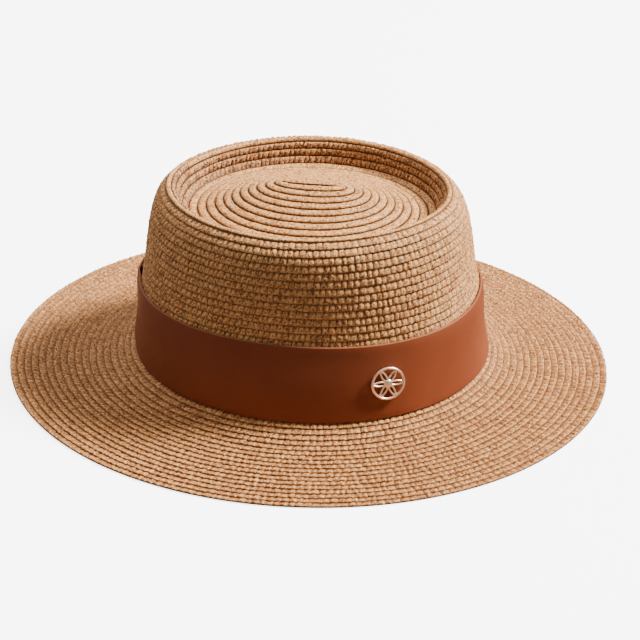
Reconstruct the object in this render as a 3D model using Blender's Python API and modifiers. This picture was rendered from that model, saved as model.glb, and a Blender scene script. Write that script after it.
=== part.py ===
"""Sun hat of sewn straw braid, with a leather band and a small pierced metal badge.

Metres, +Z up. The front of the hat faces -Y, the wearer's right side faces -X, and the
origin is on the floor below the middle of the brim, which rests flat on its edge row.
An oval is described by its half length (along Y), its half width (along X) and its
fullness (2 is an ellipse, more is squarer). A turn is an angle round the hat that is
0 at the front and 90 degrees at the wearer's right.
"""

import bpy
import bmesh
from math import cos, pi, radians, sin
from mathutils import Matrix, Vector

# Straw
STRAW = 0.0020
HEAD_HALF_LENGTH = 0.0979
HEAD_HALF_WIDTH = 0.0827
CROWN_HEIGHT = 0.0970
CROWN_FORWARD = 0.0039
CREST_FORWARD = 0.0010
RECESS_DEPTH = 0.0138
DOME_RISE = 0.0152
RIDGE_HALF_LENGTH = 0.0145
RIDGE_FORWARD = 0.0018
BRIM_HALF_LENGTH = 0.1716
BRIM_HALF_WIDTH = 0.1457
BRIM_RISE = 0.0083

# Leather band
BAND_HEIGHT = 0.0413
BAND_THICKNESS = 0.0013
BAND_LAP = 0.0260
BAND_STEP = 0.0140

# Badge and the pin that holds it
BADGE_RADIUS = 0.0093
BADGE_THICKNESS = 0.0014
BADGE_RIM = 0.0012
BADGE_BAR = 0.0009
BADGE_BAR_DEPTH = 0.0010
BADGE_BOSS_RADIUS = 0.0024
BADGE_TURN = radians(53.6)
BADGE_HEIGHT = 0.0210
BADGE_STANDOFF = 0.0009
PIN_RADIUS = 0.0008
PIN_PLATE_RADIUS = 0.0036
PIN_PLATE = 0.0008
PIN_CLEARANCE = 0.0003

# Gap between pieces that touch
GAP = 0.0003

# Short step, in radians round the hat and in metres up it, to read the wall's slope
PROBE = 0.0005

# Fullness of the oval at the head opening and at the edge of the brim
HEAD_FULLNESS = 2.02
EDGE_FULLNESS = 2.00

# Round the hat
SEGMENTS = 56
PETALS = 6
ARC_STEPS = 7
ROUND_STEPS = 36

# Outer wall of the crown: height as a share of CROWN_HEIGHT, then half length and
# half width as shares of the crown's own outer base, and fullness
WALL_SHARES = (
    (0.000, 1.000, 1.000, HEAD_FULLNESS),
    (0.200, 0.970, 0.968, 2.07),
    (0.420, 0.951, 0.907, 2.14),
    (0.540, 0.923, 0.889, 2.12),
    (0.660, 0.909, 0.880, 2.06),
    (0.770, 0.892, 0.871, 2.00),
    (0.860, 0.873, 0.859, 1.95),
    (0.930, 0.846, 0.838, 1.92),
    (0.970, 0.818, 0.806, 1.92),
    (1.000, 0.775, 0.768, 1.92),
)

# Recess inside the crest: depth as a share of RECESS_DEPTH, then half length and half
# width as shares of the crest's, and fullness
RECESS_SHARES = (
    (0.050, 0.967, 0.957, 1.92),
    (0.230, 0.943, 0.926, 1.92),
    (0.500, 0.920, 0.901, 1.94),
    (0.780, 0.897, 0.878, 1.96),
    (0.950, 0.872, 0.850, 1.98),
    (1.000, 0.836, 0.806, 2.00),
)

# Dome inside the gutter: rise as a share of DOME_RISE, half length as a share of the
# way from the ridge to the gutter, half width as a share of the gutter's, and fullness
DOME_SHARES = (
    (0.080, 0.870, 0.870, 2.00),
    (0.300, 0.670, 0.680, 2.05),
    (0.560, 0.460, 0.465, 2.15),
    (0.780, 0.260, 0.265, 2.30),
    (0.940, 0.090, 0.105, 2.50),
    (1.000, 0.000, 0.022, 2.60),
)

# Brim outside the band: reach as a share of the way from the band to the brim's edge,
# and height as a share of BRIM_RISE
BRIM_SHARES = (
    (0.000, 1.000),
    (0.050, 0.760),
    (0.110, 0.555),
    (0.190, 0.370),
    (0.310, 0.215),
    (0.480, 0.125),
    (0.720, 0.060),
    (0.940, 0.000),
    (1.000, 0.000),
)

LANDING_TOP = BRIM_RISE + STRAW
CROWN_BASE = LANDING_TOP + GAP


def material(name, colour, roughness, metallic=0.0):
    """Plain material with the piece's colour, roughness and metallic value."""
    made = bpy.data.materials.new(name)
    made.use_nodes = True
    shader = made.node_tree.nodes["Principled BSDF"]
    shader.inputs["Base Color"].default_value = (*colour, 1.0)
    shader.inputs["Roughness"].default_value = roughness
    shader.inputs["Metallic"].default_value = metallic
    return made


def oval_point(turn, section, grow=0.0):
    """Point of an oval section (half length, half width, height, centre y, fullness)."""
    half_length, half_width, height, centre, fullness = section
    power = 2.0 / fullness
    across, along = sin(turn), cos(turn)
    x = -(half_width + grow) * abs(across) ** power * (1 if across > 0 else -1)
    y = -(half_length + grow) * abs(along) ** power * (1 if along > 0 else -1)
    return Vector((x, y + centre, height))


def between(first, second, share):
    """Value or section the given share of the way from the first to the second."""
    if isinstance(first, tuple):
        return tuple(between(a, b, share) for a, b in zip(first, second))
    return first + (second - first) * share


def wall_section(height):
    """Outer oval of the crown's wall, the given height above its base."""
    base_length, base_width = HEAD_HALF_LENGTH + STRAW, HEAD_HALF_WIDTH + STRAW
    rows = [(share * CROWN_HEIGHT, base_length * long, base_width * wide, full)
            for share, long, wide, full in WALL_SHARES]
    for low, high in zip(rows, rows[1:]):
        if height <= high[0]:
            break
    share = (height - low[0]) / (high[0] - low[0])
    _, half_length, half_width, fullness = between(low, high, share)
    centre = -CROWN_FORWARD - CREST_FORWARD * (height / CROWN_HEIGHT) ** 4
    return half_length, half_width, CROWN_BASE + height, centre, fullness


def crown_sections():
    """Ovals of the crown's outer surface, from its base over the crest to the ridge."""
    sections = [wall_section(row[0] * CROWN_HEIGHT) for row in WALL_SHARES]
    crest_length, crest_width, crest_height, centre, _ = sections[-1]
    for depth, long, wide, full in RECESS_SHARES:
        height = crest_height - depth * RECESS_DEPTH
        sections.append((crest_length * long, crest_width * wide, height, centre, full))
    gutter_length, gutter_width, gutter_height, _, _ = sections[-1]
    for rise, long, wide, full in DOME_SHARES:
        half_length = between(RIDGE_HALF_LENGTH, gutter_length, long)
        height = gutter_height + rise * DOME_RISE
        middle = centre - RIDGE_FORWARD * (1 - long)
        sections.append((half_length, gutter_width * wide, height, middle, full))
    return sections


def brim_sections():
    """Ovals of the brim's underside, from its edge inwards to the head opening."""
    centre = -CROWN_FORWARD
    under_band = STRAW + GAP + BAND_THICKNESS
    landing = (HEAD_HALF_LENGTH + under_band, HEAD_HALF_WIDTH + under_band)
    sections = [(HEAD_HALF_LENGTH, HEAD_HALF_WIDTH, BRIM_RISE, centre, HEAD_FULLNESS)]
    for reach, height in BRIM_SHARES:
        half_length = between(landing[0], BRIM_HALF_LENGTH, reach)
        half_width = between(landing[1], BRIM_HALF_WIDTH, reach)
        middle = between(centre, 0.0, reach)
        sections.append((half_length, half_width, height * BRIM_RISE, middle, EDGE_FULLNESS))
    return sections[::-1]


def facet_point(turn, height, grow=0.0):
    """Point on the crown's faceted wall, grown outwards."""
    section = wall_section(height)
    place = turn / (2 * pi) * SEGMENTS
    index = int(place)
    start, end = (oval_point(2 * pi * step / SEGMENTS, section, grow)
                  for step in (index, index + 1))
    return start.lerp(end, place - index)


def badge_seat():
    """Matrix on the band's outside: Z points out of the band and Y up the wall."""
    grow = GAP + BAND_THICKNESS
    seat = facet_point(BADGE_TURN, BADGE_HEIGHT, grow)
    along = facet_point(BADGE_TURN + PROBE, BADGE_HEIGHT, grow) - seat
    up = facet_point(BADGE_TURN, BADGE_HEIGHT + PROBE, grow) - seat
    outward = up.cross(along).normalized()
    across = up.cross(outward).normalized()
    upward = outward.cross(across)
    turned = Matrix((across, upward, outward)).transposed().to_4x4()
    return Matrix.Translation(seat) @ turned


def new_object(name, bm, collection, look=None):
    """Object made from a bmesh, shaded smooth apart from its sharp edges."""
    mesh = bpy.data.meshes.new(name)
    bm.to_mesh(mesh)
    bm.free()
    mesh.shade_smooth()
    mesh.set_sharp_from_angle(angle=radians(40))
    if look:
        mesh.materials.append(look)
    made = bpy.data.objects.new(name, mesh)
    collection.objects.link(made)
    return made


def lofted(sections, closed_tip):
    """Open surface through ovals, with its outside up; the last oval may be closed."""
    bm = bmesh.new()
    turns = [2 * pi * step / SEGMENTS for step in range(SEGMENTS)]
    rings = [[bm.verts.new(oval_point(turn, section)) for turn in turns]
             for section in sections]
    for low, high in zip(rings, rings[1:]):
        for step in range(SEGMENTS):
            after = (step + 1) % SEGMENTS
            bm.faces.new((low[step], high[step], high[after], low[after]))
    if closed_tip:
        bm.faces.new(rings[-1][::-1])
    return bm


def add_thickness(piece, thickness, side):
    """Give a surface its wall, on its outside (side 1) or its inside (side -1)."""
    wall = piece.modifiers.new("wall", "SOLIDIFY")
    wall.thickness = thickness
    wall.offset = side
    wall.use_even_offset = True


def cut_hole(piece, cutter):
    """Cut the pin's hole through a wall."""
    hole = piece.modifiers.new("hole", "BOOLEAN")
    hole.object = cutter
    hole.operation = "DIFFERENCE"
    hole.solver = "EXACT"


def make_crown(collection, pin_hole):
    """Hollow crown: leaning wall, rolled crest, recess and low dome."""
    look = material("crown_straw", (0.44, 0.26, 0.14), 0.75)
    crown = new_object("crown", lofted(crown_sections(), True), collection, look)
    add_thickness(crown, STRAW, -1)
    cut_hole(crown, pin_hole)


def make_brim(collection):
    """Oval brim that falls from the crown and flattens towards its edge."""
    look = material("brim_straw", (0.46, 0.27, 0.15), 0.75)
    bm = lofted(brim_sections(), False)
    bmesh.ops.reverse_faces(bm, faces=bm.faces)
    brim = new_object("brim", bm, collection, look)
    add_thickness(brim, STRAW, -1)


def band_turns():
    """Turns along the strip with its outward step for the lap at the centre back."""
    lap = BAND_LAP / 2 / HEAD_HALF_WIDTH
    ramp = BAND_STEP / HEAD_HALF_WIDTH
    step = 2 * pi / SEGMENTS
    start, end = pi - lap, 3 * pi + lap
    lift_from = 3 * pi - lap - ramp
    even = [step * count for count in range(2 * SEGMENTS)]
    corners = [start, lift_from, lift_from + ramp, end]
    spare = step / 8
    inner = [turn for turn in even if start < turn < end
             and all(abs(turn - corner) > spare for corner in corners)]
    turns = []
    for turn in sorted(inner + corners):
        share = min(max((turn - lift_from) / ramp, 0.0), 1.0)
        turns.append((turn, share * (BAND_THICKNESS + GAP)))
    return turns


def make_band(collection, pin_hole):
    """Leather strip round the foot of the crown, lapped at the centre back."""
    look = material("band_leather", (0.30, 0.085, 0.022), 0.42)
    heights = [0.0]
    heights += [row[0] * CROWN_HEIGHT for row in WALL_SHARES[1:]
                if row[0] * CROWN_HEIGHT < BAND_HEIGHT - GAP]
    heights.append(BAND_HEIGHT)
    bm = bmesh.new()
    columns = [[bm.verts.new(oval_point(turn, wall_section(height), GAP + lift))
                for height in heights] for turn, lift in band_turns()]
    for first, second in zip(columns, columns[1:]):
        for row in range(len(heights) - 1):
            bm.faces.new((first[row], first[row + 1], second[row + 1], second[row]))
    band = new_object("band", bm, collection, look)
    add_thickness(band, BAND_THICKNESS, 1)
    cut_hole(band, pin_hole)


def make_bar(petal, radius):
    """One curved bar of the rosette, swept about a point on the rim."""
    bm = bmesh.new()
    middle = Matrix.Rotation(2 * pi * petal / PETALS, 3, "Z") @ Vector((radius, 0, 0))
    low = (BADGE_THICKNESS - BADGE_BAR_DEPTH) / 2
    sides = ((-BADGE_BAR / 2, low), (BADGE_BAR / 2, low),
             (BADGE_BAR / 2, low + BADGE_BAR_DEPTH), (-BADGE_BAR / 2, low + BADGE_BAR_DEPTH))
    turned = Matrix.Rotation(2 * pi * petal / PETALS + pi * 2 / 3, 3, "Z")
    corners = [bm.verts.new(middle + turned @ Vector((radius + out, 0, up)))
               for out, up in sides]
    face = bm.faces.new(corners)
    bmesh.ops.spin(bm, geom=[face], cent=middle, axis=(0, 0, 1), angle=pi * 2 / 3,
                   steps=ARC_STEPS)
    bmesh.ops.recalc_face_normals(bm, faces=bm.faces)
    return bm


def make_rim():
    """Round rim of the badge, a small rectangle turned about the badge's axis."""
    bm = bmesh.new()
    inner = BADGE_RADIUS - BADGE_RIM
    corners = [bm.verts.new((radius, 0, height)) for radius, height in
               ((inner, 0), (BADGE_RADIUS, 0), (BADGE_RADIUS, BADGE_THICKNESS),
                (inner, BADGE_THICKNESS))]
    outline = [bm.edges.new((corners[i], corners[(i + 1) % 4])) for i in range(4)]
    bmesh.ops.spin(bm, geom=outline, axis=(0, 0, 1), angle=2 * pi, steps=ROUND_STEPS,
                   use_merge=True)
    bmesh.ops.recalc_face_normals(bm, faces=bm.faces)
    return bm


def make_badge(collection, guides, seat):
    """Pierced badge: a rim with a six-petalled rosette and a round boss, as one body."""
    look = material("badge_metal", (0.86, 0.62, 0.47), 0.25, 1.0)
    badge = new_object("badge", make_rim(), collection, look)
    badge.matrix_world = seat @ Matrix.Translation((0, 0, BADGE_STANDOFF))
    bars = bpy.data.collections.new("rosette_bars")
    guides.children.link(bars)
    for petal in range(PETALS):
        bar = new_object(f"rosette_bar_{petal}", make_bar(petal, BADGE_RADIUS - BADGE_RIM / 2), bars)
        bar.matrix_world = badge.matrix_world
    boss = bmesh.new()
    bmesh.ops.create_cone(boss, cap_ends=True, segments=ROUND_STEPS // 2,
                          radius1=BADGE_BOSS_RADIUS, radius2=BADGE_BOSS_RADIUS,
                          depth=BADGE_THICKNESS)
    bmesh.ops.translate(boss, verts=boss.verts, vec=(0, 0, BADGE_THICKNESS / 2))
    centre = new_object("rosette_boss", boss, bars)
    centre.matrix_world = badge.matrix_world
    joined = badge.modifiers.new("rosette", "BOOLEAN")
    joined.operand_type = "COLLECTION"
    joined.collection = bars
    joined.operation = "UNION"
    joined.solver = "EXACT"


def make_badge_pin(collection, seat):
    """Hidden pin through the band and the crown, with a round plate inside the crown."""
    look = material("pin_metal", (0.80, 0.62, 0.50), 0.35, 1.0)
    top = BADGE_STANDOFF - GAP
    plate_top = -(BAND_THICKNESS + GAP + STRAW + GAP)
    outline = ((0, top), (PIN_RADIUS, top), (PIN_RADIUS, plate_top),
               (PIN_PLATE_RADIUS, plate_top), (PIN_PLATE_RADIUS, plate_top - PIN_PLATE),
               (0, plate_top - PIN_PLATE))
    bm = bmesh.new()
    points = [bm.verts.new((radius, 0, height)) for radius, height in outline]
    for first, second in zip(points, points[1:]):
        bm.edges.new((first, second))
    pin = new_object("badge_pin", bm, collection, look)
    pin.matrix_world = seat
    turning = pin.modifiers.new("turning", "SCREW")
    turning.steps = ROUND_STEPS // 2
    turning.render_steps = ROUND_STEPS // 2
    turning.use_merge_vertices = True
    turning.merge_threshold = 0.00005
    turning.use_smooth_shade = True


def make_pin_hole(guides, seat):
    """Cutter for the pin's hole, through the band and the crown's wall behind it."""
    bm = bmesh.new()
    radius = PIN_RADIUS + PIN_CLEARANCE
    depth = 4 * (BAND_THICKNESS + GAP + STRAW)
    bmesh.ops.create_cone(bm, cap_ends=True, segments=ROUND_STEPS // 3, radius1=radius,
                          radius2=radius, depth=depth)
    cutter = new_object("pin_hole", bm, guides)
    cutter.matrix_world = seat
    return cutter


def new_collection(name):
    """Collection in the scene."""
    made = bpy.data.collections.new(name)
    bpy.context.scene.collection.children.link(made)
    return made


def main():
    """Clear the scene and build the hat."""
    for old in list(bpy.data.objects):
        bpy.data.objects.remove(old, do_unlink=True)
    hat = new_collection("sun_hat")
    guides = new_collection("cutters")
    seat = badge_seat()
    pin_hole = make_pin_hole(guides, seat)
    make_crown(hat, pin_hole)
    make_brim(hat)
    make_band(hat, pin_hole)
    make_badge(hat, guides, seat)
    make_badge_pin(hat, seat)
    for guide in guides.all_objects:
        guide.hide_render = True
        guide.display_type = "WIRE"


main()
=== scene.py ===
"""Sewn straw sun hat on a pale floor: braid, leather band, badge, light and camera.

Everything is in metres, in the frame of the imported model. The front of the hat faces -Y
and the wearer's right faces -X. The straw is one long braid sewn edge over edge in an
oval spiral, from the ridge in the middle of the crown to the edge of the brim.
"""

import logging
import math
from dataclasses import dataclass, field
from enum import Enum

import bmesh
import bpy
import numpy as np
from mathutils import Matrix, Vector


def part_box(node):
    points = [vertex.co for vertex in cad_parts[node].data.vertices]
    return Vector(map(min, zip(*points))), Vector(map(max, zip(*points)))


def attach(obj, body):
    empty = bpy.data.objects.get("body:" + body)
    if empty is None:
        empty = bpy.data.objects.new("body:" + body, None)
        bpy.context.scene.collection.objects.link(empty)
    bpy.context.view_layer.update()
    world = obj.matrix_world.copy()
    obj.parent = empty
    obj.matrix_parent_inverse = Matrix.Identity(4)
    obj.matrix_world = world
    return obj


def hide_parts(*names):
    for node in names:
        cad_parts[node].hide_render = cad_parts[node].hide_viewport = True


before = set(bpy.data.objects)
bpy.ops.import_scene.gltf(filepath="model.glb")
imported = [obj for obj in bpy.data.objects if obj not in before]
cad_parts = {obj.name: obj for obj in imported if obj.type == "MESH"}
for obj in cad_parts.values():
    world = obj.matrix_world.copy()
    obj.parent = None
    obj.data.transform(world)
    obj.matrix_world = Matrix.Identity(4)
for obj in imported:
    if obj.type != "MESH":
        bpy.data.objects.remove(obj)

LOG = logging.getLogger("sun_hat")
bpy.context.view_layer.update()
MM = 0.001


class Zone(Enum):
    """Stretch of the straw form, named by where it lies."""

    DOME = "dome"
    RECESS = "recess"
    SIDE = "side"
    FOOT = "foot"
    BRIM = "brim"


@dataclass(frozen=True)
class Oval:
    """One oval section of the straw's outer surface.

    Attributes:
        half_length: Half the size along Y.
        half_width: Half the size along X.
        height: Height above the floor.
        centre: Place of the middle along Y.
        fullness: 2 for an ellipse, more for a squarer oval.
        zone: Stretch of the form that ends at this section.
    """

    half_length: float
    half_width: float
    height: float
    centre: float
    fullness: float
    zone: Zone

    def row(self) -> tuple:
        """Numbers of the section, without its zone."""
        return self.half_length, self.half_width, self.height, self.centre, self.fullness


@dataclass
class HatForm:
    """Smooth outer surface of the straw, from the crown's ridge to the brim's edge.

    A point of it has a reach, the length along the surface from the ridge, and a turn,
    which is 0 at the front and a quarter circle at the wearer's right.
    """

    ridge_half_length: float = 14.5 * MM
    ridge_forward: float = 1.8 * MM
    crest_forward: float = 1.0 * MM
    recess_depth: float = 13.8 * MM
    dome_rise: float = 15.2 * MM
    wall: float = 1.8 * MM
    samples_a_span: int = 60
    dome: tuple = (
        (1.000, 0.000, 0.000, 2.00),
        (0.940, 0.090, 0.105, 2.10),
        (0.780, 0.260, 0.265, 2.10),
        (0.560, 0.460, 0.465, 2.05),
        (0.300, 0.670, 0.680, 2.00),
        (0.080, 0.870, 0.870, 2.00),
    )
    recess: tuple = (
        (1.000, 0.836, 0.806, 2.00),
        (0.950, 0.872, 0.850, 1.98),
        (0.780, 0.897, 0.878, 1.96),
        (0.500, 0.920, 0.901, 1.94),
        (0.230, 0.943, 0.926, 1.92),
        (0.050, 0.967, 0.957, 1.92),
    )
    side: tuple = (
        (1.000, 0.775, 0.768, 1.92),
        (0.970, 0.818, 0.806, 1.92),
        (0.930, 0.846, 0.838, 1.92),
        (0.860, 0.873, 0.859, 1.95),
        (0.770, 0.892, 0.871, 2.00),
        (0.660, 0.909, 0.880, 2.06),
        (0.540, 0.923, 0.889, 2.12),
        (0.455, 0.940, 0.900, 2.14),
    )
    foot: tuple = (
        (0.420, 0.948, 0.904, 2.14),
        (0.200, 0.966, 0.964, 2.07),
        (0.040, 0.993, 0.990, 2.02),
    )
    brim: tuple = (
        (0.000, 0.960),
        (0.050, 0.760),
        (0.110, 0.555),
        (0.190, 0.370),
        (0.310, 0.215),
        (0.480, 0.125),
        (0.720, 0.060),
        (0.940, 0.000),
        (1.000, 0.000),
    )
    reach: np.ndarray = field(init=False)
    values: np.ndarray = field(init=False)
    wall_values: np.ndarray = field(init=False)
    ends: dict = field(init=False)

    def __post_init__(self) -> None:
        """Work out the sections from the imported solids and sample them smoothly."""
        ovals = self.ovals()
        rows = np.array([oval.row() for oval in ovals])
        self.values = self.sampled(rows, np.concatenate(([0.0], np.cumsum(self.steps(rows)))))
        self.reach = np.concatenate(([0.0], np.cumsum(self.steps(self.values))))
        self.ends = {oval.zone: float(self.reach[index * self.samples_a_span])
                     for index, oval in enumerate(ovals)}
        outer = [self.wall_oval(*row).row() for row in self.side + self.foot[:2]]
        outer.append(self.wall_oval(0.0, 1.0, 1.0, 2.02).row())
        outer = np.array(outer)[::-1]
        self.wall_values = self.sampled(outer, outer[:, 2])

    def sampled(self, rows: np.ndarray, knots: np.ndarray) -> np.ndarray:
        """Smooth run of sections through a few.

        Args:
            rows: The few sections, one a row.
            knots: Place of each along the run.

        Returns:
            Many sections, one a row.
        """
        slopes = np.gradient(rows, knots, axis=0)
        share = np.linspace(0.0, 1.0, self.samples_a_span, endpoint=False)[:, None]
        spans = [self.hermite(rows[index], rows[index + 1], slopes[index] * span,
                              slopes[index + 1] * span, share)
                 for index, span in enumerate(np.diff(knots))]
        return np.concatenate(spans + [rows[-1:]])

    @staticmethod
    def steps(rows: np.ndarray) -> np.ndarray:
        """Lengths between sections, meaned over the hat's front and its side.

        Args:
            rows: Sections, one a row.

        Returns:
            One length fewer than there are sections.
        """
        change = np.diff(rows, axis=0)
        front = np.hypot(change[:, 0], change[:, 2])
        side = np.hypot(change[:, 1], change[:, 2])
        return (front + side) / 2

    @staticmethod
    def hermite(start: np.ndarray, end: np.ndarray, leave: np.ndarray, arrive: np.ndarray,
                share: np.ndarray) -> np.ndarray:
        """Smooth curve between two sections.

        Args:
            start: First section.
            end: Second section.
            leave: Slope at the first.
            arrive: Slope at the second.
            share: Places between them, from 0 to 1.

        Returns:
            One section for each place.
        """
        square, cube = share ** 2, share ** 3
        return (start * (2 * cube - 3 * square + 1) + leave * (cube - 2 * square + share)
                + end * (3 * square - 2 * cube) + arrive * (cube - square))

    def crown_base(self) -> tuple[float, float, float, float, float]:
        """Half length, half width, centre, foot and crest height of the crown's solid."""
        low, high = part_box("crown")
        crest = high.z - self.dome_rise + self.recess_depth
        return (high.y - low.y) / 2, (high.x - low.x) / 2, (high.y + low.y) / 2, low.z, crest

    def wall_oval(self, share: float, long: float, wide: float, full: float,
                  zone: Zone = Zone.SIDE) -> Oval:
        """One oval of the crown's leaning wall.

        Args:
            share: Height as a share of the wall's.
            long: Half length as a share of the base's.
            wide: Half width as a share of the base's.
            full: Fullness.
            zone: Stretch that ends at this section.

        Returns:
            The section.
        """
        base_length, base_width, centre, foot, crest = self.crown_base()
        return Oval(base_length * long, base_width * wide, foot + share * (crest - foot),
                    centre - self.crest_forward * share ** 4, full, zone)

    def ovals(self) -> list[Oval]:
        """Sections in order outwards from the ridge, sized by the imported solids.

        Returns:
            The sections.
        """
        base_length, base_width, centre, foot, crest = self.crown_base()
        top = self.wall_oval(*self.side[0])
        gutter = (top.half_length * self.recess[0][1], top.half_width * self.recess[0][2])
        ovals = []
        for rise, long, wide, full in self.dome:
            half_length = self.ridge_half_length + (gutter[0] - self.ridge_half_length) * long
            height = crest - self.recess_depth + rise * self.dome_rise
            ovals.append(Oval(half_length, gutter[1] * wide, height,
                              top.centre - self.ridge_forward * (1 - long), full, Zone.DOME))
        for depth, long, wide, full in self.recess:
            zone = Zone.DOME if depth == 1.0 else Zone.RECESS
            ovals.append(Oval(top.half_length * long, top.half_width * wide,
                              crest - depth * self.recess_depth, top.centre, full, zone))
        for row in self.side:
            ovals.append(self.wall_oval(*row, Zone.RECESS if row[0] == 1.0 else Zone.SIDE))
        for row in self.foot:
            ovals.append(self.wall_oval(*row, Zone.FOOT))
        band_low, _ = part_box("band")
        edge_low, edge_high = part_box("brim")
        start_width = -band_low.x
        start_length = base_length + start_width - base_width
        edge_length, edge_width = (edge_high.y - edge_low.y) / 2, (edge_high.x - edge_low.x) / 2
        rise = foot - self.wall
        for share, height in self.brim:
            zone = Zone.FOOT if share == 0.0 else Zone.BRIM
            ovals.append(Oval(start_length + (edge_length - start_length) * share,
                              start_width + (edge_width - start_width) * share,
                              self.wall + rise * height, centre * (1 - share), 2.0, zone))
        return ovals

    @staticmethod
    def oval_points(turn: np.ndarray, columns: tuple, out: np.ndarray | float) -> np.ndarray:
        """Points of ovals.

        Args:
            turn: Angle round the hat.
            columns: Half length, half width, height, centre and fullness.
            out: Distance outwards, level with the floor.

        Returns:
            Points, with the coordinates last.
        """
        length, width, height, centre, full = columns
        across, along = np.sin(turn), np.cos(turn)
        round_off = (np.abs(across) ** full + np.abs(along) ** full) ** (-1 / full)
        x = -(width + out) * across * round_off
        y = -(length + out) * along * round_off
        return np.stack((x, y + centre, height), axis=-1)

    def surface(self, reach: np.ndarray, turn: np.ndarray) -> np.ndarray:
        """Points of the surface.

        Args:
            reach: Length along the surface from the ridge.
            turn: Angle round the hat.

        Returns:
            Points, with the coordinates last.
        """
        columns = tuple(np.interp(reach, self.reach, column) for column in self.values.T)
        return self.oval_points(turn, columns, 0.0)

    def wall_surface(self, height: np.ndarray, turn: np.ndarray, out: np.ndarray) -> np.ndarray:
        """Points on or off the crown's wall.

        Args:
            height: Height above the floor.
            turn: Angle round the hat.
            out: Distance outwards from the wall.

        Returns:
            Points, with the coordinates last.
        """
        rise = self.wall_values[:, 2]
        columns = tuple(np.interp(height, rise, column) for column in self.wall_values.T)
        return self.oval_points(turn, columns, out)

    def outward(self, reach: np.ndarray, turn: np.ndarray) -> np.ndarray:
        """Directions straight out of the surface.

        Args:
            reach: Length along the surface from the ridge.
            turn: Angle round the hat.

        Returns:
            Unit vectors, with the coordinates last.
        """
        near, far, little = reach - 0.3 * MM, reach + 0.3 * MM, 0.004
        down = self.surface(np.minimum(far, self.reach[-1]), turn)
        down = down - self.surface(np.maximum(near, 0.05 * MM), turn)
        round_hat = self.surface(reach, turn + little) - self.surface(reach, turn - little)
        straight = np.cross(round_hat, down)
        return straight / np.linalg.norm(straight, axis=-1, keepdims=True)


@dataclass
class BraidPlan:
    """Where each row of the spiral lies on the form.

    A phase counts the turns of the spiral. The rows become plain rings towards the brim's
    edge, and the last one tapers to nothing at the back.
    """

    form: HatForm
    pitches: dict = field(default_factory=lambda: {
        Zone.DOME: 4.92 * MM, Zone.RECESS: 4.15 * MM, Zone.SIDE: 4.25 * MM,
        Zone.FOOT: 4.1 * MM, Zone.BRIM: 3.80 * MM})
    taper: float = 0.2
    turns: int = field(init=False)
    phases: np.ndarray = field(init=False)
    reaches: np.ndarray = field(init=False)

    def __post_init__(self) -> None:
        """Count the rows and note how far out each turn of the spiral has come."""
        steps, start = [], 0.0
        for zone in Zone:
            inside = (self.form.reach > start) & (self.form.reach <= self.form.ends[zone])
            steps.append(np.full(int(inside.sum()), self.pitches[zone]))
            start = self.form.ends[zone]
        pitch = np.concatenate(steps)
        pitch = np.convolve(np.pad(pitch, 20, mode="edge"), np.full(41, 1 / 41), "valid")
        counted = np.concatenate(([0.0], np.cumsum(np.diff(self.form.reach) / pitch)))
        self.turns = int(round(counted[-1])) + 1
        self.phases = 1.0 + counted * (self.turns - 1) / counted[-1]
        self.reaches = self.form.reach

    def edge(self, phase: np.ndarray) -> np.ndarray:
        """Reach of the inner edge of the row at each phase.

        Args:
            phase: Turns of the spiral.

        Returns:
            Reach of each place.
        """
        part = phase - np.floor(phase + 1e-9)
        back = np.clip((part - (1 - self.taper)) / self.taper, 0.0, 1.0)
        back = back * back * (3 - 2 * back)
        brim_start = np.interp(self.form.ends[Zone.FOOT], self.reaches, self.phases)
        closing = np.clip((phase - brim_start) / (self.turns - brim_start), 0.0, 1.0)
        ring = phase + closing * (back - part)
        return np.interp(ring, self.phases, self.reaches)

    def phase_of(self, zone: Zone) -> float:
        """Phase at which the rows reach the end of a zone."""
        return float(np.interp(self.form.ends[zone], self.reaches, self.phases))

    def length(self, phase: np.ndarray) -> np.ndarray:
        """Length of the braid up to each of a run of phases.

        Args:
            phase: Phases in rising order.

        Returns:
            Length from the first phase.
        """
        middle = (self.edge(phase) + self.edge(phase + 1)) / 2
        points = self.form.surface(middle, phase * 2 * math.pi)
        steps = np.linalg.norm(np.diff(points, axis=0), axis=1)
        return np.concatenate(([0.0], np.cumsum(steps)))


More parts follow.
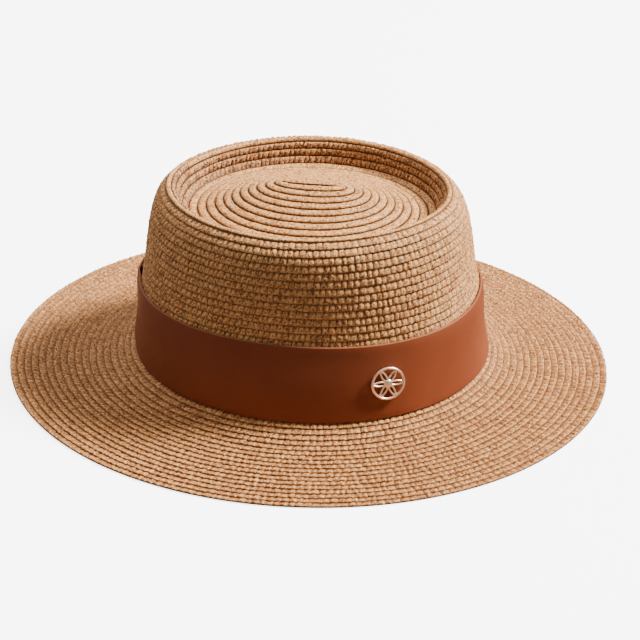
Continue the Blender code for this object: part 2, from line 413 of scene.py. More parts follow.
@dataclass(frozen=True)
class StrawFinish:
    """Finish of the paper straw in one kind of row.

    Attributes:
        name: Name of the material.
        light: Colour of a pale stitch.
        warm: Colour of a warm stitch.
        deep: Colour of the painted shade in grooves, valleys, pinholes and inner halves of rows, and
            of the straw's own dark flecks.
        painted_glint: Colour of the painted highlights on pale flecks, standing in for the paper's
            gloss.
        holes: Share of the stitches that get a painted pinhole shade in the middle.
        corner: How dark the painted shade is in the valleys between stitches.
        narrow: How narrow they are.
        groove_shade: How dark the painted shade in the groove below the row above is.
        inner: How dark the painted shade on the inner, lower half of a row is.
        flecks: How dark the flecks are.
        relief: Depth of the crumpled paper.
        roughness: Roughness of the paper.
    """

    name: str
    light: tuple = (0.580, 0.262, 0.084)
    warm: tuple = (0.450, 0.180, 0.052)
    deep: tuple = (0.045, 0.013, 0.004)
    painted_glint: tuple = (0.820, 0.470, 0.190)
    holes: float = 0.3
    corner: float = 0.9
    narrow: float = 6.0
    groove_shade: float = 0.9
    inner: float = 0.0
    flecks: float = 0.80
    relief: float = 0.3 * MM
    roughness: float = 0.56

    def build(self) -> bpy.types.Material:
        """Make the material, which reads the braid's own UV map.

        Returns:
            The material.
        """
        nodes = NodeSheet(self.name)
        place = nodes.add("ShaderNodeUVMap", uv_map="braid").outputs["UV"]
        split = nodes.add("ShaderNodeSeparateXYZ")
        nodes.join(place, split.inputs[0])
        along, across = split.outputs["X"], split.outputs["Y"]
        part = nodes.math("FRACT", along)
        number = nodes.math("FLOOR", along)
        draw = nodes.add("ShaderNodeTexWhiteNoise", noise_dimensions="1D")
        nodes.join(number, draw.inputs["W"])
        draws = nodes.add("ShaderNodeSeparateXYZ")
        nodes.join(draw.outputs["Color"], draws.inputs[0])
        patch = nodes.noise(nodes.object_place(), 22.0, 3.0)
        speck = nodes.noise(nodes.object_place(), 900.0, 2.0)
        warmth = nodes.math("ADD", nodes.math("MULTIPLY", draws.outputs["X"], 0.75),
                            nodes.math("MULTIPLY", patch, 0.5))
        body = nodes.mix(nodes.ramp(warmth, ((0.2, 0.0), (1.0, 1.0))), self.light, self.warm)
        middle = nodes.math("SUBTRACT", part, 0.5)
        side = nodes.math("MULTIPLY", nodes.math("ABSOLUTE", middle), 2.0)
        valley = nodes.math("POWER", side, self.narrow)
        # Painted shade: the groove under the row above, the outer step and the underside are
        # darkened in the colour.
        groove_shade = nodes.ramp(across, ((0.0, 1.0), (0.16, 1.0), (0.22, 0.6), (0.29, 0.0),
                                     (0.58, 0.0), (0.66, 0.25), (0.72, 0.85), (0.9, 0.6)))
        # Painted shade: the valleys between stitches are darkened, most near the row above.
        corner = nodes.ramp(across, ((0.10, 1.0), (0.28, 1.0), (0.45, 0.6), (0.62, 0.25)))
        # Painted shade: dark spots standing in for pinholes in some stitches.
        pinhole_shade = self.pinhole_shade(nodes, middle, across, draws.outputs["Y"])
        fleck = nodes.ramp(speck, ((0.38, self.flecks), (0.46, 0.0)))
        # Painted highlight: pale flecks mixed into the colour where the paper's gloss would shine.
        painted_glint_mask = nodes.ramp(speck, ((0.55, 0.0), (0.66, 0.7)))
        body = nodes.mix(painted_glint_mask, body, self.painted_glint)
        # Painted shade: the inner, lower half of a row is darkened where the neighbouring row steps
        # over it.
        shade = nodes.ramp(across, ((0.20, self.inner), (0.50, 0.0)))
        # dark joins the painted shade of grooves, valleys, pinholes and inner halves with the
        # straw's own dark flecks; deep is their colour.
        dark = nodes.math("MAXIMUM", nodes.math("MULTIPLY", groove_shade, self.groove_shade),
                          nodes.math("MULTIPLY", nodes.math("MULTIPLY", valley, corner),
                                     self.corner))
        dark = nodes.math("MAXIMUM", nodes.math("MAXIMUM", dark, pinhole_shade),
                          nodes.math("MAXIMUM", fleck, shade))
        colour = nodes.mix(dark, body, self.deep)
        shader = nodes.shader
        nodes.join(colour, shader.inputs["Base Color"])
        shader.inputs["Roughness"].default_value = self.roughness
        shader.inputs["Specular IOR Level"].default_value = 0.22
        stretch = nodes.add("ShaderNodeMapping")
        stretch.inputs["Scale"].default_value = (2.6, 22.0, 1.0)
        nodes.join(place, stretch.inputs["Vector"])
        fibre = nodes.noise(stretch.outputs["Vector"], 3.0, 2.0)
        nodes.bump(nodes.math("ADD", nodes.math("MULTIPLY", fibre, 0.5), speck), 0.8,
                   self.relief)
        return nodes.material

    def pinhole_shade(self, nodes: "NodeSheet", middle: bpy.types.NodeSocket,
             across: bpy.types.NodeSocket, draw: bpy.types.NodeSocket) -> bpy.types.NodeSocket:
        """Painted shade of pinholes: dark spots in the middle of some stitches.

        Args:
            nodes: Sheet of the material.
            middle: Distance from the stitch's middle, along the row.
            across: Place across the row.
            draw: Random number of the stitch.

        Returns:
            Grey value of the painted pinhole shade.
        """
        long = nodes.math("POWER", nodes.math("MULTIPLY", middle, 5.5), 2.0)
        wide = nodes.math("POWER", nodes.math("MULTIPLY", nodes.math("SUBTRACT", across, 0.42),
                                              14.0), 2.0)
        spot = nodes.ramp(nodes.math("ADD", long, wide), ((0.3, 0.75), (1.0, 0.0)))
        chosen = nodes.math("LESS_THAN", draw, self.holes)
        return nodes.math("MULTIPLY", spot, chosen)


@dataclass(frozen=True)
class LeatherFinish:
    """Finish of the smooth brown leather.

    Attributes:
        name: Name of the material.
        colour: Colour of the smooth face.
        worn: Colour where it is a little paler.
        edge: Colour of the cut edges.
        roughness: Roughness of the face.
    """

    name: str = "brown_leather"
    colour: tuple = (0.162, 0.0355, 0.0120)
    worn: tuple = (0.194, 0.0450, 0.0160)
    edge: tuple = (0.215, 0.0720, 0.0280)
    roughness: float = 0.46

    def build(self) -> bpy.types.Material:
        """Make the material, which reads object coordinates and the band's own UV map.

        Returns:
            The material.
        """
        nodes = NodeSheet(self.name)
        place = nodes.object_place()
        cloud = nodes.noise(place, 18.0, 4.0)
        face = nodes.mix(nodes.ramp(cloud, ((0.35, 0.0), (0.70, 1.0))), self.colour, self.worn)
        split = nodes.add("ShaderNodeSeparateXYZ")
        nodes.join(nodes.add("ShaderNodeUVMap", uv_map="braid").outputs["UV"], split.inputs[0])
        rim = nodes.ramp(split.outputs["Y"], ((0.35, 0.0), (0.75, 1.0)))
        nodes.join(nodes.mix(rim, face, self.edge), nodes.shader.inputs["Base Color"])
        rough = nodes.ramp(nodes.noise(place, 60.0, 3.0),
                           ((0.3, self.roughness - 0.05), (0.7, self.roughness + 0.06)))
        nodes.join(rough, nodes.shader.inputs["Roughness"])
        nodes.shader.inputs["Specular IOR Level"].default_value = 0.16
        grain = nodes.add("ShaderNodeTexVoronoi", feature="DISTANCE_TO_EDGE")
        grain.inputs["Scale"].default_value = 1300.0
        nodes.join(place, grain.inputs["Vector"])
        creases = nodes.ramp(grain.outputs["Distance"], ((0.0, 0.0), (0.16, 1.0)))
        fold = nodes.noise(place, 34.0, 2.0)
        height = nodes.math("ADD", nodes.math("MULTIPLY", creases, 0.12),
                            nodes.math("MULTIPLY", fold, 3.0))
        nodes.bump(height, 0.35, 0.20 * MM)
        return nodes.material


@dataclass(frozen=True)
class ThreadFinish:
    """Finish of the waxed thread in the band's lap.

    Attributes:
        name: Name of the material.
        colour: Colour of the thread.
    """

    name: str = "waxed_thread"
    colour: tuple = (0.150, 0.045, 0.018)

    def build(self) -> bpy.types.Material:
        """Make the material, whose twisted strands run slantwise up each stitch.

        Returns:
            The material.
        """
        nodes = NodeSheet(self.name)
        place = nodes.object_place()
        strands = nodes.add("ShaderNodeTexWave", bands_direction="DIAGONAL")
        strands.inputs["Scale"].default_value = 900.0
        strands.inputs["Distortion"].default_value = 0.6
        nodes.join(place, strands.inputs["Vector"])
        dark = tuple(0.55 * value for value in self.colour)
        nodes.join(nodes.mix(strands.outputs["Fac"], dark, self.colour),
                   nodes.shader.inputs["Base Color"])
        nodes.shader.inputs["Roughness"].default_value = 0.5
        nodes.bump(strands.outputs["Fac"], 0.5, 0.1 * MM)
        return nodes.material


@dataclass(frozen=True)
class MetalFinish:
    """Finish of a plated metal piece.

    Attributes:
        name: Name of the material.
        colour: Colour of the plating.
        roughness: Roughness of the polish.
        scratch: Depth of the fine scratches.
    """

    name: str
    colour: tuple = (0.980, 0.725, 0.550)
    roughness: float = 0.32
    scratch: float = 0.012 * MM

    def build(self) -> bpy.types.Material:
        """Make the material, which reads object coordinates.

        Returns:
            The material.
        """
        nodes = NodeSheet(self.name)
        place = nodes.object_place()
        dull = nodes.noise(place, 420.0, 3.0)
        tint = tuple(value * shade for value, shade in zip(self.colour, (0.93, 0.87, 0.82)))
        nodes.join(nodes.mix(nodes.ramp(dull, ((0.35, 0.0), (0.75, 1.0))), self.colour, tint),
                   nodes.shader.inputs["Base Color"])
        nodes.shader.inputs["Metallic"].default_value = 1.0
        rough = nodes.ramp(dull, ((0.3, self.roughness), (0.7, self.roughness + 0.12)))
        nodes.join(rough, nodes.shader.inputs["Roughness"])
        stretch = nodes.add("ShaderNodeMapping")
        stretch.inputs["Scale"].default_value = (1.0, 1.0, 9.0)
        nodes.join(place, stretch.inputs["Vector"])
        nodes.bump(nodes.noise(stretch.outputs["Vector"], 2400.0, 2.0), 0.3, self.scratch)
        return nodes.material


class NodeSheet:
    """Helper that lays out the nodes of one material."""

    def __init__(self, name: str) -> None:
        """Start a material with a Principled shader.

        Args:
            name: Name of the material.
        """
        self.material = bpy.data.materials.new(name)
        self.material.use_nodes = True
        self.tree = self.material.node_tree
        self.shader = self.tree.nodes["Principled BSDF"]

    def add(self, kind: str, **settings: object) -> bpy.types.Node:
        """Add a node.

        Args:
            kind: Type of the node.
            settings: Properties to set on it.

        Returns:
            The node.
        """
        node = self.tree.nodes.new(kind)
        for key, value in settings.items():
            setattr(node, key, value)
        return node

    def join(self, start: object, end: bpy.types.NodeSocket) -> None:
        """Link a socket, or set a plain value.

        Args:
            start: Output socket, number or colour.
            end: Input socket.
        """
        if isinstance(start, bpy.types.NodeSocket):
            self.tree.links.new(start, end)
        elif isinstance(start, tuple):
            end.default_value = (*start, 1.0) if len(start) == 3 and end.type == "RGBA" else start
        else:
            end.default_value = start

    def object_place(self) -> bpy.types.NodeSocket:
        """Object coordinates."""
        return self.add("ShaderNodeTexCoord").outputs["Object"]

    def math(self, operation: str, first: object, second: object = 0.0,
             clamp: bool = False) -> bpy.types.NodeSocket:
        """Add a Math node.

        Args:
            operation: What it does.
            first: First value.
            second: Second value.
            clamp: Whether the result is kept between 0 and 1.

        Returns:
            Its output.
        """
        node = self.add("ShaderNodeMath", operation=operation, use_clamp=clamp)
        self.join(first, node.inputs[0])
        self.join(second, node.inputs[1])
        return node.outputs[0]

    def noise(self, place: bpy.types.NodeSocket, scale: float,
              detail: float) -> bpy.types.NodeSocket:
        """Add a noise texture.

        Args:
            place: Coordinates that it reads.
            scale: Its scale.
            detail: Its detail.

        Returns:
            Its grey value.
        """
        node = self.add("ShaderNodeTexNoise")
        node.inputs["Scale"].default_value = scale
        node.inputs["Detail"].default_value = detail
        self.join(place, node.inputs["Vector"])
        return node.outputs["Fac"]

    def ramp(self, value: bpy.types.NodeSocket, stops: tuple) -> bpy.types.NodeSocket:
        """Add a grey ramp.

        Args:
            value: What it reads.
            stops: Place and grey of each stop.

        Returns:
            Its output.
        """
        node = self.add("ShaderNodeValToRGB")
        bar = node.color_ramp.elements
        while len(bar) < len(stops):
            bar.new(0.5)
        for element, (place, grey) in zip(bar, stops):
            element.position = place
            element.color = (grey, grey, grey, 1.0)
        self.join(value, node.inputs["Fac"])
        return node.outputs["Color"]

    def mix(self, share: object, first: object, second: object) -> bpy.types.NodeSocket:
        """Mix two colours.

        Args:
            share: How much of the second is taken.
            first: First colour.
            second: Second colour.

        Returns:
            The mixed colour.
        """
        node = self.add("ShaderNodeMix", data_type="RGBA")
        self.join(share, node.inputs[0])
        self.join(first, node.inputs[6])
        self.join(second, node.inputs[7])
        return node.outputs[2]

    def bump(self, height: bpy.types.NodeSocket, strength: float, distance: float) -> None:
        """Put a bump on the shader.

        Args:
            height: What it reads.
            strength: Its strength.
            distance: Its depth in metres.
        """
        node = self.add("ShaderNodeBump")
        node.inputs["Strength"].default_value = strength
        node.inputs["Distance"].default_value = distance
        self.join(height, node.inputs["Height"])
        self.join(node.outputs["Normal"], self.shader.inputs["Normal"])


def shaped_grid(places: np.ndarray, uvs: np.ndarray, tube: bool) -> bmesh.types.BMesh:
    """Grid from Blender's own operator, with its points moved to their places.

    Args:
        places: Points by column and row.
        uvs: UV of each point by column and row.
        tube: Whether the last row is the first one again, which closes the grid.

    Returns:
        The shaped mesh, with its ends capped if it is a tube.
    """
    columns, rows = places.shape[:2]
    bm = bmesh.new()
    bmesh.ops.create_grid(bm, x_segments=columns - 1, y_segments=rows - 1, size=1.0)
    mesh = bpy.data.meshes.new("grid")
    bm.to_mesh(mesh)
    bm.clear()
    flat = np.empty(len(mesh.vertices) * 3, np.float32)
    mesh.vertices.foreach_get("co", flat)
    flat = (flat.reshape(-1, 3) + 1) / 2
    column = np.rint(flat[:, 0] * (columns - 1)).astype(int)
    row = np.rint(flat[:, 1] * (rows - 1)).astype(int)
    mesh.vertices.foreach_set("co", places[column, row].astype(np.float32).ravel())
    corners = np.empty(len(mesh.loops), np.int32)
    mesh.loops.foreach_get("vertex_index", corners)
    layer = mesh.uv_layers.new(name="braid")
    layer.uv.foreach_set("vector", uvs[column, row][corners].astype(np.float32).ravel())
    bm.from_mesh(mesh)
    bpy.data.meshes.remove(mesh)
    if tube:
        bmesh.ops.remove_doubles(bm, verts=bm.verts, dist=0.002 * MM)
        open_edges = [edge for edge in bm.edges if edge.is_boundary]
        bmesh.ops.holes_fill(bm, edges=open_edges, sides=rows)
    bmesh.ops.recalc_face_normals(bm, faces=bm.faces)
    return bm


def finished(name: str, bm: bmesh.types.BMesh, material: bpy.types.Material,
             sharp_over: float = 180.0) -> bpy.types.Object:
    """Object of a mesh, at the origin, smooth apart from its sharp edges.

    Args:
        name: Name of the piece.
        bm: Its mesh, which is freed.
        material: Its finish.
        sharp_over: Angle in degrees past which an edge stays sharp.

    Returns:
        The object, riding on the hat's one body.
    """
    mesh = bpy.data.meshes.new(name)
    bm.to_mesh(mesh)
    bm.free()
    mesh.shade_smooth()
    if sharp_over < 180.0:
        mesh.set_sharp_from_angle(angle=math.radians(sharp_over))
    mesh.materials.append(material)
    piece = bpy.data.objects.new(name, mesh)
    bpy.context.scene.collection.objects.link(piece)
    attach(piece, "root")
    mesh.calc_loop_triangles()
    LOG.info("%s: %d triangles", name, len(mesh.loop_triangles))
    return piece


@dataclass(frozen=True)
class RowShape:
    """Shape of the braid's rows in one stretch of the hat.

    Attributes:
        profile: Outline across a row, first outside and then underneath: place as a share
            of the pitch, height in millimetres, and share of a valley's depth.
        outside: How many points of the outline lie outside.
        columns: Places of the columns along one stitch, from 0 to 1.
        stitch: Length of one stitch.
        valley: Depth of the valleys between stitches.
        sharpness: How narrow the valleys are.
        lowest: How far in a valley may reach, so that the row stays closed below it.
        uneven: How much stitches differ in length, height and tilt.
        slant: How far a stitch leans along the row, over the row's width.
    """

    profile: tuple
    outside: int = 8
    columns: tuple = (0.0, 0.2, 0.5, 0.8)
    stitch: float = 3.3 * MM
    valley: float = 0.5 * MM
    sharpness: float = 4.0
    lowest: float = -1.25 * MM
    uneven: float = 1.0
    slant: float = 0.7 * MM


class Weave(Enum):
    """Kinds of row, each with its shape."""

    ROPE = RowShape(
        profile=((-0.22, -1.30, 0.0), (0.00, -1.18, 0.2), (0.11, -0.78, 0.9), (0.26, -0.28, 1.0),
                 (0.52, 0.02, 1.0), (0.78, -0.02, 0.8), (0.96, -0.32, 0.5), (1.00, -1.40, 0.0),
                 (0.45, -1.60, 0.0), (-0.15, -1.70, 0.0)),
        valley=0.18 * MM, uneven=0.8, stitch=3.0 * MM)
    LIP = RowShape(
        profile=((-0.22, -1.30, 0.0), (0.00, -1.15, 0.2), (0.10, -0.60, 0.9), (0.26, -0.02, 1.0),
                 (0.50, 0.24, 1.0), (0.74, 0.14, 0.8), (0.88, -0.26, 0.5), (0.94, -1.40, 0.0),
                 (0.45, -1.60, 0.0), (-0.15, -1.70, 0.0)),
        valley=0.12 * MM, uneven=0.5, stitch=3.0 * MM)
    FINE = RowShape(
        profile=ROPE.profile, columns=(0.0, 0.16, 0.38, 0.62, 0.84), stitch=2.9 * MM,
        valley=0.85 * MM, uneven=1.6, slant=1.0 * MM)
    KNOBBY = RowShape(
        profile=((-0.24, -1.30, 0.0), (0.00, -1.15, 0.2), (0.15, -0.62, 1.0), (0.36, -0.16, 1.1),
                 (0.64, 0.03, 0.8), (0.89, -0.03, 0.35), (1.03, -0.34, 0.15), (1.01, -1.40, 0.0),
                 (0.45, -1.60, 0.0), (-0.15, -1.70, 0.0)),
        columns=(0.0, 0.14, 0.38, 0.62, 0.86), valley=0.90 * MM, uneven=1.5)
    DASHED = RowShape(
        profile=((-0.22, -1.30, 0.0), (0.00, -1.15, 0.2), (0.14, -0.62, 1.0), (0.38, -0.42, 1.0),
                 (0.62, -0.20, 0.9), (0.80, 0.02, 0.8), (0.97, -0.12, 0.6), (1.01, -1.40, 0.0),
                 (0.45, -1.60, 0.0), (-0.15, -1.70, 0.0)),
        columns=(0.0, 0.16, 0.42, 0.66, 0.88), stitch=3.7 * MM, valley=0.75 * MM,
        sharpness=3.0, uneven=1.7, slant=1.1 * MM)
    HIDDEN = RowShape(
        profile=KNOBBY.profile, columns=(0.0, 0.5), valley=0.0, uneven=0.0)


@dataclass
class BraidRun:
    """One run of the sewn braid, as a closed strip with its stitches raised.

    Attributes:
        name: Name of the piece.
        plan: Where the rows lie.
        start: Phase where the run starts.
        end: Phase where it ends.
        weave: Kind of row.
        seed: Start of the run's random numbers.
    """

    name: str
    plan: BraidPlan
    start: float
    end: float
    weave: Weave
    seed: int

    def phases(self, draw: np.random.RandomState) -> tuple[np.ndarray, np.ndarray, np.ndarray]:
        """Lay the stitches along the run.

        Args:
            draw: Source of random numbers.

        Returns:
            Phase, stitch number and place within the stitch of each column.
        """
        shape = self.weave.value
        fine = np.linspace(self.start, self.end, int((self.end - self.start) * 720) + 2)
        length = self.plan.length(fine)
        stitches = max(int(round(length[-1] / shape.stitch)), 1)
        sizes = 1 + 0.16 * shape.uneven * draw.uniform(-1.0, 1.0, stitches)
        edges = np.concatenate(([0.0], np.cumsum(sizes))) / sizes.sum()
        marks = edges[:-1, None] + np.diff(edges)[:, None] * np.array(shape.columns)[None, :]
        marks = np.append(marks.ravel(), 1.0) * length[-1]
        number = np.append(np.repeat(np.arange(stitches), len(shape.columns)), stitches)
        part = np.append(np.tile(shape.columns, stitches), 0.0)
        return np.interp(marks, length, fine), number, part

    def build(self, material: bpy.types.Material) -> bpy.types.Object:
        """Model the run.

        Args:
            material: Finish of the straw.

        Returns:
            The piece.
        """
        shape = self.weave.value
        draw = np.random.RandomState(self.seed)
        phase, number, part = self.phases(draw)
        uneven = draw.uniform(-1.0, 1.0, (number[-1] + 1, 4)) * shape.uneven
        across, depth, weight = np.array(shape.profile + shape.profile[:1]).T
        speed = np.gradient(self.plan.length(phase), phase)
        valley = np.abs(2 * part - 1) ** shape.sharpness
        plump = (1 - valley)[:, None]
        raised = np.maximum(weight, 0.0)[None, :]
        shift = 0.05 * uneven[number, 2][:, None] * plump * raised
        lean = shape.slant * (across[None, :] - 0.5) / speed[:, None]
        place = phase[:, None] + lean
        inner = self.plan.edge(place)
        width = np.maximum(self.plan.edge(place + 1) - inner, 0.25 * MM)
        reach = np.clip(inner + width * (across[None, :] + shift), 0.0, self.plan.reaches[-1])
        deep = shape.valley * (1 + 0.35 * uneven[number, 0])
        height = depth[None, :] * MM * np.minimum(width / (3.6 * MM), 1.0)
        height = np.maximum(height - (deep * valley)[:, None] * weight[None, :], np.minimum(
            height, shape.lowest))
        lift = 0.12 * MM * uneven[number, 1] + 0.16 * MM * uneven[number, 3] * (2 * part - 1)
        height = height + lift[:, None] * plump * raised
        turn = place * 2 * math.pi
        places = self.plan.form.surface(reach, turn)
        places = places + self.plan.form.outward(reach, turn) * height[..., None]
        uvs = np.empty((*places.shape[:2], 2))
        uvs[..., 0] = (number + part)[:, None] + self.seed * 1000
        uvs[..., 1] = self.rows_up(across)[None, :]
        return finished(self.name, shaped_grid(places, uvs, True), material)

    def rows_up(self, across: np.ndarray) -> np.ndarray:
        """Second UV coordinate of a row: 0 to 0.7 across its outside, then on to 1.

        Args:
            across: Places across the row.

        Returns:
            The coordinate of each.
        """
        outside = self.weave.value.outside
        top = np.maximum.accumulate(across[:outside])
        over = 0.7 * (top - top[0]) / (top[-1] - top[0])
        under = np.linspace(0.7, 1.0, len(across) - outside + 1)[1:]
        return np.concatenate((over, under))


@dataclass
class StrawBody:
    """Crown and brim, sewn from one braid in several runs."""

    plan: BraidPlan
    start: float = 0.06
    spare_end: float = 0.02

    def build(self) -> None:
        """Model all runs and let them stand for the crown's and the brim's solids."""
        rope = StrawFinish("rope_straw", holes=0.1, corner=0.35, light=(0.620, 0.290, 0.100),
                           warm=(0.500, 0.210, 0.062), groove_shade=1.0).build()
        knobby = StrawFinish("knobby_straw", corner=1.0, narrow=4.0, groove_shade=0.7,
                             light=(0.640, 0.300, 0.104),
                             warm=(0.500, 0.210, 0.066)).build()
        # Painted shade: a darker copy of the straw, with darker flecks and wider dark valleys, for
        # the recess that lies in shade.
        shaded = StrawFinish("recess_shaded_straw", flecks=0.95, corner=1.0, narrow=2.6,
                             light=(0.470, 0.222, 0.086),
                             warm=(0.330, 0.138, 0.046)).build()
        # Brim straw with painted shade on the inner half of each row.
        dashed = StrawFinish("dashed_straw", holes=0.12, corner=1.0, narrow=3.5, groove_shade=0.75,
                              inner=0.50, light=(0.540, 0.235, 0.074),
                              warm=(0.410, 0.158, 0.045)).build()
        plan = self.plan
        gutter, crest = plan.phase_of(Zone.DOME), plan.phase_of(Zone.RECESS)
        side, foot = plan.phase_of(Zone.SIDE), plan.phase_of(Zone.FOOT)
        lip, lower = crest - 1.35, crest + (side - crest) * 0.52
        brim = plan.turns - foot
        runs = (
            (BraidRun("dome_braid", plan, self.start, gutter, Weave.ROPE, 1), rope),
            (BraidRun("recess_braid", plan, gutter, lip, Weave.FINE, 2), shaded),
            (BraidRun("crest_braid", plan, lip, lip + 1, Weave.LIP, 9), rope),
            (BraidRun("side_upper_braid", plan, lip + 1, lower, Weave.KNOBBY, 3), knobby),
            (BraidRun("side_lower_braid", plan, lower, side + 1, Weave.KNOBBY, 4), knobby),
            (BraidRun("hidden_braid", plan, side + 1, foot - 1, Weave.HIDDEN, 5), knobby),
            (BraidRun("brim_inner_braid", plan, foot - 1, foot + brim * 0.45, Weave.DASHED, 6),
             dashed),
            (BraidRun("brim_middle_braid", plan, foot + brim * 0.45, foot + brim * 0.75,
                      Weave.DASHED, 7), dashed),
            (BraidRun("brim_outer_braid", plan, foot + brim * 0.75, plan.turns - self.spare_end,
                      Weave.DASHED, 8), dashed),
        )
        for run, material in runs:
            piece = run.build(material)
            if run.name.startswith("brim"):
                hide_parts("brim")
            else:
                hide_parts("crown")


@dataclass
class LeatherBand:
    """Leather strip round the crown's foot, lapped and sewn at the centre back.

    Its turn runs from the hidden end of the lap, once round the hat, to the open end.
    """

    form: HatForm
    lap: float = 26.0 * MM
    ramp: float = 14.0 * MM
    thickness: float = 1.3 * MM
    gap: float = 0.3 * MM
    corner: float = 0.45 * MM
    wave: float = 0.10 * MM
    columns: int = 500
    face_rows: int = 12
    stitches: int = 9
    stitch: float = 2.6 * MM
    thread: float = 0.38 * MM
    stitch_inset: float = 4.0 * MM

    def section(self) -> np.ndarray:
        """Outline of the cut strip.

        Returns:
            Rows of height, distance out of the strip's inside, and 1 on its cut edges.
        """
        low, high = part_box("band")[0].z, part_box("band")[1].z
        thick, corner = self.thickness, self.corner
        points = [(height, thick, 0.0)
                  for height in np.linspace(low + corner, high - corner, self.face_rows)]
        for angle in (30, 60, 90):
            across = corner * (1 - math.cos(math.radians(angle)))
            up = corner * math.sin(math.radians(angle))
            points.append((high - corner + up, thick - across, angle / 90))
        points += [(high, corner / 2, 1.0), (high - corner / 2, 0.0, 1.0)]
        points += [(height, 0.0, 0.0)
                   for height in np.linspace(high - corner, low + corner, self.face_rows // 2)]
        points += [(low + corner / 2, 0.0, 1.0), (low, corner / 2, 1.0)]
        for angle in (90, 60, 30):
            across = corner * (1 - math.cos(math.radians(angle)))
            up = corner * math.sin(math.radians(angle))
            points.append((low + corner - up, thick - across, angle / 90))
        points.append(points[0])
        return np.array(points)

    def ends(self) -> tuple[float, float]:
        """Turns of the strip's hidden end and of its open end."""
        half = self.lap / 2 / self.form.wall_values[0, 1]
        return math.pi - half, 3 * math.pi + half

    def lifts(self, turn: np.ndarray) -> np.ndarray:
        """How far the strip stands off the crown, where it climbs over its own start.

        Args:
            turn: Turns along the strip.

        Returns:
            Distance at each.
        """
        _, end = self.ends()
        width = self.form.wall_values[0, 1]
        share = np.clip((turn - (end - (self.lap + self.ramp) / width)) / (self.ramp / width),
                        0.0, 1.0)
        return self.gap + share * share * (3 - 2 * share) * (self.thickness + self.gap)

    def build(self) -> None:
        """Model the strip and its stitches, which stand for the band's solid."""
        start, end = self.ends()
        turn = np.linspace(start, end, self.columns)
        height, out, rim = self.section().T
        ripple = self.wave * (np.sin(turn * 3 + 0.7) + 0.6 * np.sin(turn * 7 + 2.0)) / 1.6
        ripple = ripple[:, None] * np.sin(np.linspace(0.6, 2.6, len(height)))[None, :]
        out = self.lifts(turn)[:, None] + out[None, :] + np.maximum(ripple, -self.gap / 2)
        places = self.form.wall_surface(np.broadcast_to(height, out.shape), turn[:, None], out)
        uvs = np.stack((np.broadcast_to(turn[:, None], out.shape),
                        np.broadcast_to(rim, out.shape)), axis=-1)
        band = finished("leather_band", shaped_grid(places, uvs, True),
                        LeatherFinish().build(), 50.0)
        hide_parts("band")
        self.build_stitches(end)

    def build_stitches(self, end: float) -> None:
        """Model the row of stitches beside the strip's open end.

        Args:
            end: Turn of the open end.
        """
        turn = end - self.stitch_inset / self.form.wall_values[0, 1]
        low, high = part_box("band")[0].z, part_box("band")[1].z
        out = float(self.lifts(np.array([turn]))[0]) + self.thickness
        pitch = (high - low) / self.stitches
        bm = bmesh.new()
        for count in range(self.stitches):
            height = low + pitch * (count + 0.5)
            place, upper = (Vector(self.form.wall_surface(np.array([level]), np.array([turn]),
                                                          np.array([out]))[0])
                            for level in (height, height + MM))
            lean = (upper - place).to_track_quat("Z", "Y").to_matrix().to_4x4()
            size = Matrix.Diagonal((self.thread, self.thread, self.stitch / 2, 1.0))
            bmesh.ops.create_uvsphere(bm, u_segments=12, v_segments=8, radius=1.0,
                                      matrix=Matrix.Translation(place) @ lean @ size)
        stitches = finished("band_stitches", bm, ThreadFinish().build())


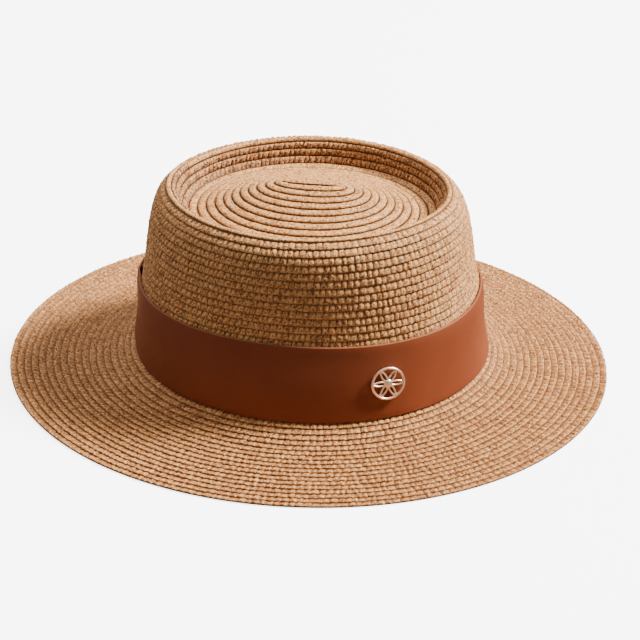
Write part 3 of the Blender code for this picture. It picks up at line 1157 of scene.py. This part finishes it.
@dataclass
class Badge:
    """Round pierced badge: a rim, a rosette of curved bars and a boss in the middle."""

    form: HatForm
    band: LeatherBand
    turn: float = math.radians(53.6)
    height: float = 21.0 * MM
    radius: float = 9.3 * MM
    wire: float = 0.68 * MM
    bar: float = 0.50 * MM
    boss: float = 2.4 * MM
    standoff: float = 0.9 * MM
    petals: int = 6
    wire_sides: int = 16
    rim_steps: int = 96
    bar_steps: int = 28

    def seat(self) -> Matrix:
        """Place of the badge's middle, with Z out of the band and Y up the wall."""
        level = self.form.wall_values[0, 2] + self.height
        out = self.band.gap + self.band.thickness + self.standoff + self.wire
        near = np.array([level, level, level + MM])
        turns = np.array([self.turn, self.turn + 0.01, self.turn])
        middle, along, up = (Vector(point)
                             for point in self.form.wall_surface(near, turns, np.array(out)))
        outward = (up - middle).cross(along - middle).normalized()
        across = (up - middle).cross(outward).normalized()
        turned = Matrix((across, outward.cross(across), outward)).transposed().to_4x4()
        return Matrix.Translation(middle) @ turned

    def wire_ring(self, bm: bmesh.types.BMesh, size: float, middle: Vector, centre: Vector,
                  angle: float, steps: int) -> None:
        """Sweep a round wire along an arc in the badge's plane.

        Args:
            bm: Mesh that takes it.
            size: Radius of the wire.
            middle: Where the wire starts.
            centre: Centre of the arc.
            angle: Angle of the arc.
            steps: Steps along it.
        """
        whole = angle >= 2 * math.pi
        away = (middle - centre).to_track_quat("X", "Z").to_matrix().to_4x4()
        stand = Matrix.Rotation(math.pi / 2, 4, "X")
        made = bmesh.ops.create_circle(bm, cap_ends=not whole, segments=self.wire_sides,
                                       radius=size, matrix=Matrix.Translation(middle) @ away @ stand)
        verts = made["verts"]
        edges = list({edge for vert in verts for edge in vert.link_edges})
        faces = list({face for vert in verts for face in vert.link_faces})
        bmesh.ops.spin(bm, geom=verts + edges + faces, cent=centre, axis=(0, 0, 1),
                       angle=angle, steps=steps, use_merge=whole)

    def build(self) -> None:
        """Model the badge, which stands for its solid."""
        bm = bmesh.new()
        radius = self.radius - self.wire
        self.wire_ring(bm, self.wire, Vector((radius, 0, 0)), Vector(), 2 * math.pi,
                       self.rim_steps)
        for petal in range(self.petals):
            way = 2 * math.pi * petal / self.petals
            centre = Matrix.Rotation(way, 3, "Z") @ Vector((radius, 0, 0))
            start = Matrix.Rotation(way - 2 * math.pi / self.petals, 3, "Z")
            self.wire_ring(bm, self.bar, start @ Vector((radius, 0, 0)), centre,
                           -2 * math.pi / 3, self.bar_steps)
        dome = Matrix.Diagonal((1.0, 1.0, 0.5, 1.0))
        bmesh.ops.create_uvsphere(bm, u_segments=36, v_segments=18, radius=self.boss, matrix=dome)
        bmesh.ops.recalc_face_normals(bm, faces=bm.faces)
        bmesh.ops.transform(bm, matrix=self.seat(), verts=bm.verts)
        badge = finished("rosette_badge", bm, MetalFinish("rose_gold").build(), 60.0)
        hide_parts("badge")


@dataclass
class BadgePin:
    """Pin and plate behind the badge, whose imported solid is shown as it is."""

    def build(self) -> None:
        """Give the solid its satin plating."""
        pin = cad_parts["badge_pin"]
        finish = MetalFinish("satin_plating", (0.800, 0.620, 0.500), 0.32).build()
        if pin.material_slots:
            pin.material_slots[0].material = finish
        else:
            pin.data.materials.append(finish)


@dataclass
class Studio:
    """Pale floor, soft light and the camera at the photo's angle."""

    floor_size: float = 8.0
    floor_grey: float = 0.93
    floor_glow: float = 4.0
    camera_place: tuple = (-0.7454, -0.2077, 0.4768)
    camera_right: tuple = (0.2474, -0.9688, -0.0171)
    camera_up: tuple = (0.4950, 0.1112, 0.8618)
    focal: float = 88.8
    key_place: tuple = (0.92, -2.25, 2.57)
    key_size: float = 0.8
    key_power: float = 520.0
    top_place: tuple = (0.30, 0.60, 1.60)
    top_size: float = 1.8
    top_power: float = 28.0
    sky: float = 0.33

    def build(self) -> None:
        """Make the floor, the lights, the sky and the camera."""
        self.make_floor()
        self.make_light("key_light", self.key_place, self.key_size, self.key_power)
        self.make_light("top_light", self.top_place, self.top_size, self.top_power)
        world = bpy.data.worlds.new("soft_sky")
        world.use_nodes = True
        sky = world.node_tree.nodes["Background"]
        sky.inputs["Color"].default_value = (1.0, 0.97, 0.93, 1.0)
        sky.inputs["Strength"].default_value = self.sky
        bpy.context.scene.world = world
        self.make_camera()

    def make_floor(self) -> None:
        """Make a wide pale floor at the height that the hat rests on."""
        bm = bmesh.new()
        bmesh.ops.create_grid(bm, x_segments=1, y_segments=1, size=self.floor_size)
        mesh = bpy.data.meshes.new("floor")
        bm.to_mesh(mesh)
        bm.free()
        nodes = NodeSheet("pale_floor")
        tone = nodes.ramp(nodes.noise(nodes.object_place(), 3.0, 2.0),
                          ((0.3, self.floor_grey - 0.01), (0.7, self.floor_grey + 0.01)))
        nodes.join(tone, nodes.shader.inputs["Base Color"])
        nodes.shader.inputs["Roughness"].default_value = 0.9
        nodes.shader.inputs["Emission Color"].default_value = (1.0, 1.0, 1.0, 1.0)
        nodes.shader.inputs["Emission Strength"].default_value = self.floor_glow
        mesh.materials.append(nodes.material)
        floor = bpy.data.objects.new("floor", mesh)
        floor.visible_diffuse = False
        floor.visible_glossy = False
        bpy.context.scene.collection.objects.link(floor)

    def make_light(self, name: str, place: tuple, size: float, power: float) -> None:
        """Make one square light that faces the hat.

        Args:
            name: Name of the light.
            place: Where it stands.
            size: Its side.
            power: Its power in watts.
        """
        data = bpy.data.lights.new(name, "AREA")
        data.shape = "SQUARE"
        data.size = size
        data.energy = power
        light = bpy.data.objects.new(name, data)
        light.location = place
        aim = Vector((0.0, 0.0, 0.05)) - Vector(place)
        light.rotation_mode = "QUATERNION"
        light.rotation_quaternion = aim.to_track_quat("-Z", "Y")
        bpy.context.scene.collection.objects.link(light)

    def make_camera(self) -> None:
        """Make the camera at the photo's place and make it the scene's own."""
        data = bpy.data.cameras.new("camera")
        data.lens = self.focal
        data.sensor_width = 36.0
        data.clip_start = 0.01
        data.clip_end = 30.0
        camera = bpy.data.objects.new("camera", data)
        right, up = Vector(self.camera_right), Vector(self.camera_up)
        back = right.cross(up)
        turned = Matrix((right, up, back)).transposed().to_4x4()
        camera.matrix_world = Matrix.Translation(Vector(self.camera_place)) @ turned
        bpy.context.scene.collection.objects.link(camera)
        bpy.context.scene.camera = camera


def main() -> None:
    """Build the studio and dress the hat."""
    logging.basicConfig(level=logging.INFO, format="%(message)s")
    Studio().build()
    plan = BraidPlan(HatForm())
    LOG.info("straw: %d turns of braid", plan.turns)
    StrawBody(plan).build()
    band = LeatherBand(plan.form)
    band.build()
    Badge(plan.form, band).build()
    BadgePin().build()


if __name__ == "__main__":
    main()
